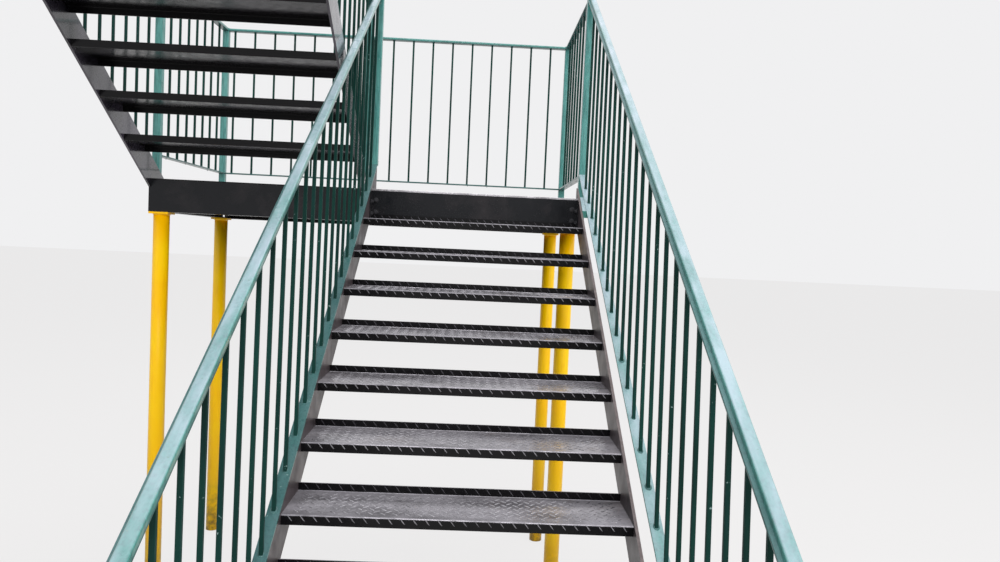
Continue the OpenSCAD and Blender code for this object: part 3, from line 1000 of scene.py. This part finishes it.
def disc(bm, sides, width, low, high):
    """An upright disc or prism between two heights; returns its vertices."""
    middle = Matrix.Translation((0, 0, (low + high) / 2))
    return bmesh.ops.create_cone(bm, cap_ends=True, segments=sides, radius1=width / 2,
                                 radius2=width / 2, depth=high - low, matrix=middle)["verts"]


def add_bolt(target, place, outward, widths):
    """A hexagon head on a washer, at a place, its head outward."""
    size, washer = widths
    top = WASHER_T + HEAD_T
    bm = bmesh.new()
    disc(bm, WASHER_SIDES, washer, 0, WASHER_T)
    head = disc(bm, 6, size, WASHER_T, top)
    rims = {e for v in head for e in v.link_edges
            if all(abs(w.co.z - top) < 1e-5 for w in e.verts)}
    ease(bm, rims, BAR_EDGE)
    aim = Vector(outward).to_track_quat("Z", "Y").to_matrix().to_4x4()
    bmesh.ops.transform(bm, matrix=Matrix.Translation(place) @ aim, verts=bm.verts)
    add(target, bm)


# Angle cleats that hold the front beam to the stringers, and where their bolts sit
CLEAT = 0.050
CLEAT_T = 0.006
CLEAT_BELOW = 0.012
CLEAT_ABOVE = 0.010
BOLT_ROWS = (0.30, 0.72)
BEAM_BOLT = 0.56
STRINGER_BOLT = 0.6
STAGGER = 0.01


def cleats():
    """An angle cleat at each end of the front beam, with two bolts in each leg."""
    plates = bmesh.new()
    bolts = bmesh.new()
    top = beam_high.z - CLEAT_BELOW
    low = beam_low.z + CLEAT_ABOVE
    y = beam_low.y
    for x, side in ((tread_low.x, 1), (tread_high.x, -1)):
        for reach, front, back in ((CLEAT, y - CLEAT_T, y + LET_IN), (CLEAT_T, y - CLEAT, y)):
            x0, x1 = sorted((x, x + side * reach))
            leg = new_box((x0, front, low), (x1, back, top))
            ease(leg, along(leg, Z), SAWN_EDGE)
            add(plates, leg)
        for share in BOLT_ROWS:
            z = low + (top - low) * share
            add_bolt(bolts, (x + side * CLEAT * BEAM_BOLT, y - CLEAT_T, z), (0, -1, 0), CLEAT_BOLT)
            add_bolt(bolts, (x + side * CLEAT_T, y - CLEAT * STRINGER_BOLT, z - STAGGER),
                     (side, 0, 0), CLEAT_BOLT)
    piece("beam_cleats", plates, BLACK)
    piece("beam_cleat_bolts", bolts, ZINC)


cleats()


def anchor_bolts():
    """Two bolts in each foot plate of the lower stringers and each end plate of the upper ones."""
    bm = bmesh.new()
    plate_z = upper_line(WALL_Y) + STRINGER_OVER - STRINGER_D * PLUMB / 2
    for name, side in (("lower_stringer_left", -1), ("lower_stringer_right", 1),
                       ("upper_stringer_outer", -1), ("upper_stringer_inner", 1)):
        low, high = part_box(name)
        x = (low.x if side < 0 else high.x) - side * PLATE_W / 4
        for end in (-1, 1):
            if name.startswith("lower"):
                y = FIRST_Y + end * 2 * (FIRST_Y - low.y) * HOLE_SHARE
                add_bolt(bm, (x, y, PLATE_T), (0, 0, 1), ANCHOR_BOLT)
            else:
                z = plate_z + end * WALL_PLATE_H * HOLE_SHARE
                add_bolt(bm, (x, WALL_Y + PLATE_T, z), (0, 1, 0), ANCHOR_BOLT)
    piece("anchor_bolts", bm, ZINC)


anchor_bolts()

# Posts: round tube open at the foot, under a square cap plate
POST_D = 0.080
POST_WALL = 0.004
POST_SIDES = 64
CAP_W = 0.100
CAP_T = 0.010
POST_WELD = 0.006
WELD_TOE = 0.0005
WELD_SIDES = 48


def round_posts():
    """The four posts, each with its cap plate and the weld under it."""
    for name in [n for n in nodes if n.startswith("post")]:
        low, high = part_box(name)
        middle = (low + high) / 2
        tube = bmesh.new()
        rings = []
        for radius in (POST_D / 2, POST_D / 2 - POST_WALL):
            rings += bmesh.ops.create_circle(tube, cap_ends=False, segments=POST_SIDES,
                                             radius=radius)["verts"]
        edges = {e for v in rings for e in v.link_edges}
        bmesh.ops.bridge_loops(tube, edges=list(edges))
        foot = tube.faces[:]
        side = bmesh.ops.extrude_face_region(tube, geom=foot)["geom"]
        moved = [e for e in side if isinstance(e, bmesh.types.BMVert)]
        bmesh.ops.translate(tube, verts=moved, vec=(0, 0, high.z - CAP_T - low.z))
        for face in tube.faces:
            face.smooth = abs(face.normal.z) < 0.5
        bmesh.ops.translate(tube, verts=tube.verts, vec=(middle.x, middle.y, low.z))
        bm = bmesh.new()
        add(bm, tube)
        cap = new_box((middle.x - CAP_W / 2, middle.y - CAP_W / 2, high.z - CAP_T),
                      (middle.x + CAP_W / 2, middle.y + CAP_W / 2, high.z))
        ease(cap, along(cap, Z), CAP_EDGE)
        add(bm, cap)
        weld = bmesh.new()
        seat = Matrix.Translation((middle.x, middle.y, high.z - CAP_T - POST_WELD / 2))
        bmesh.ops.create_cone(weld, cap_ends=True, segments=WELD_SIDES,
                              radius1=POST_D / 2 + WELD_TOE, radius2=POST_D / 2 + POST_WELD,
                              depth=POST_WELD, matrix=seat)
        add(bm, weld)
        piece("round_" + name, bm, YELLOW, (name,))


round_posts()

# Studio: the floor's half width, its own colour, and the share of a paler one that is seen
GROUND = 60
FLOOR_GREY = linear(176, 173, 171)
FLOOR_PALE = linear(250, 249, 249)
PALE_SHARE = 0.8

# World: the light that it gives, and the ground that is seen behind the stair
WORLD_LIGHT = linear(236, 242, 248)
WORLD_STRENGTH = 0.72
WORLD_BEHIND = linear(240, 240, 241)


def seen_ray(tree):
    """One where the camera sees straight, mirrored or through glass, and nought for light."""
    path = tree.nodes.new("ShaderNodeLightPath")
    found = path.outputs["Is Camera Ray"]
    for kind in ("Is Glossy Ray", "Is Transmission Ray"):
        either = tree.nodes.new("ShaderNodeMath")
        either.operation = "MAXIMUM"
        tree.links.new(found, either.inputs[0])
        tree.links.new(path.outputs[kind], either.inputs[1])
        found = either.outputs["Value"]
    return found


def add_floor():
    """Plain floor that keeps the stair's shadow and looks about as pale as the world behind."""
    bm = bmesh.new()
    bmesh.ops.create_grid(bm, x_segments=1, y_segments=1, size=GROUND)
    mesh = bpy.data.meshes.new("studio_floor")
    bm.to_mesh(mesh)
    bm.free()
    obj = new_object("studio_floor", mesh)
    material = bpy.data.materials.new("studio_floor")
    material.use_nodes = True
    tree = material.node_tree
    shader = tree.nodes["Principled BSDF"]
    shader.inputs["Base Color"].default_value = FLOOR_GREY
    shader.inputs["Roughness"].default_value = 0.95
    shader.inputs["Specular IOR Level"].default_value = 0.1
    glow = tree.nodes.new("ShaderNodeEmission")
    glow.inputs["Color"].default_value = FLOOR_PALE
    share = tree.nodes.new("ShaderNodeMath")
    share.operation = "MULTIPLY"
    share.inputs[1].default_value = PALE_SHARE
    mix = tree.nodes.new("ShaderNodeMixShader")
    tree.links.new(seen_ray(tree), share.inputs[0])
    tree.links.new(share.outputs["Value"], mix.inputs["Fac"])
    tree.links.new(shader.outputs["BSDF"], mix.inputs[1])
    tree.links.new(glow.outputs["Emission"], mix.inputs[2])
    tree.links.new(mix.outputs["Shader"], tree.nodes["Material Output"].inputs["Surface"])
    mesh.materials.append(material)


def add_light(name, place, aim, size, power, mirrored):
    """A square lamp; one that isn't mirrored leaves the gloss to the studio's pale ground."""
    data = bpy.data.lights.new(name, "AREA")
    data.shape = "SQUARE"
    data.size = size
    data.energy = power
    lamp = new_object(name, data)
    lamp.location = place
    lamp.rotation_euler = (Vector(aim) - Vector(place)).to_track_quat("-Z", "Y").to_euler()
    lamp.visible_glossy = mirrored


def add_world():
    """Pale studio: plain light on the stair, and a near white ground behind it and in its gloss."""
    world = bpy.data.worlds.new("studio")
    bpy.context.scene.world = world
    world.use_nodes = True
    tree = world.node_tree
    tree.nodes.clear()
    out = tree.nodes.new("ShaderNodeOutputWorld")
    light = tree.nodes.new("ShaderNodeBackground")
    light.inputs["Color"].default_value = WORLD_LIGHT
    light.inputs["Strength"].default_value = WORLD_STRENGTH
    seen = tree.nodes.new("ShaderNodeBackground")
    seen.inputs["Color"].default_value = WORLD_BEHIND
    seen.inputs["Strength"].default_value = 1.0
    mix = tree.nodes.new("ShaderNodeMixShader")
    tree.links.new(seen_ray(tree), mix.inputs["Fac"])
    tree.links.new(light.outputs["Background"], mix.inputs[1])
    tree.links.new(seen.outputs["Background"], mix.inputs[2])
    tree.links.new(mix.outputs["Shader"], out.inputs["Surface"])


add_camera()
add_floor()
add_world()
add_light("overhead", (0.5, 1.5, 9.0), (0, 0.8, 1.5), size=8.0, power=400, mirrored=False)
add_light("front_fill", (1.0, -6.5, 8.0), (0, 1.0, 2.0), size=4.5, power=230, mirrored=True)
add_light("low_front", (0.8, -12.0, 5.0), (0.2, 0.5, 1.8), size=4.0, power=640, mirrored=False)
add_light("open_side", (9.0, -3.5, 5.5), (-0.2, 0.0, 2.4), size=4.0, power=380, mirrored=False)
bpy.context.scene.view_settings.view_transform = "Standard"
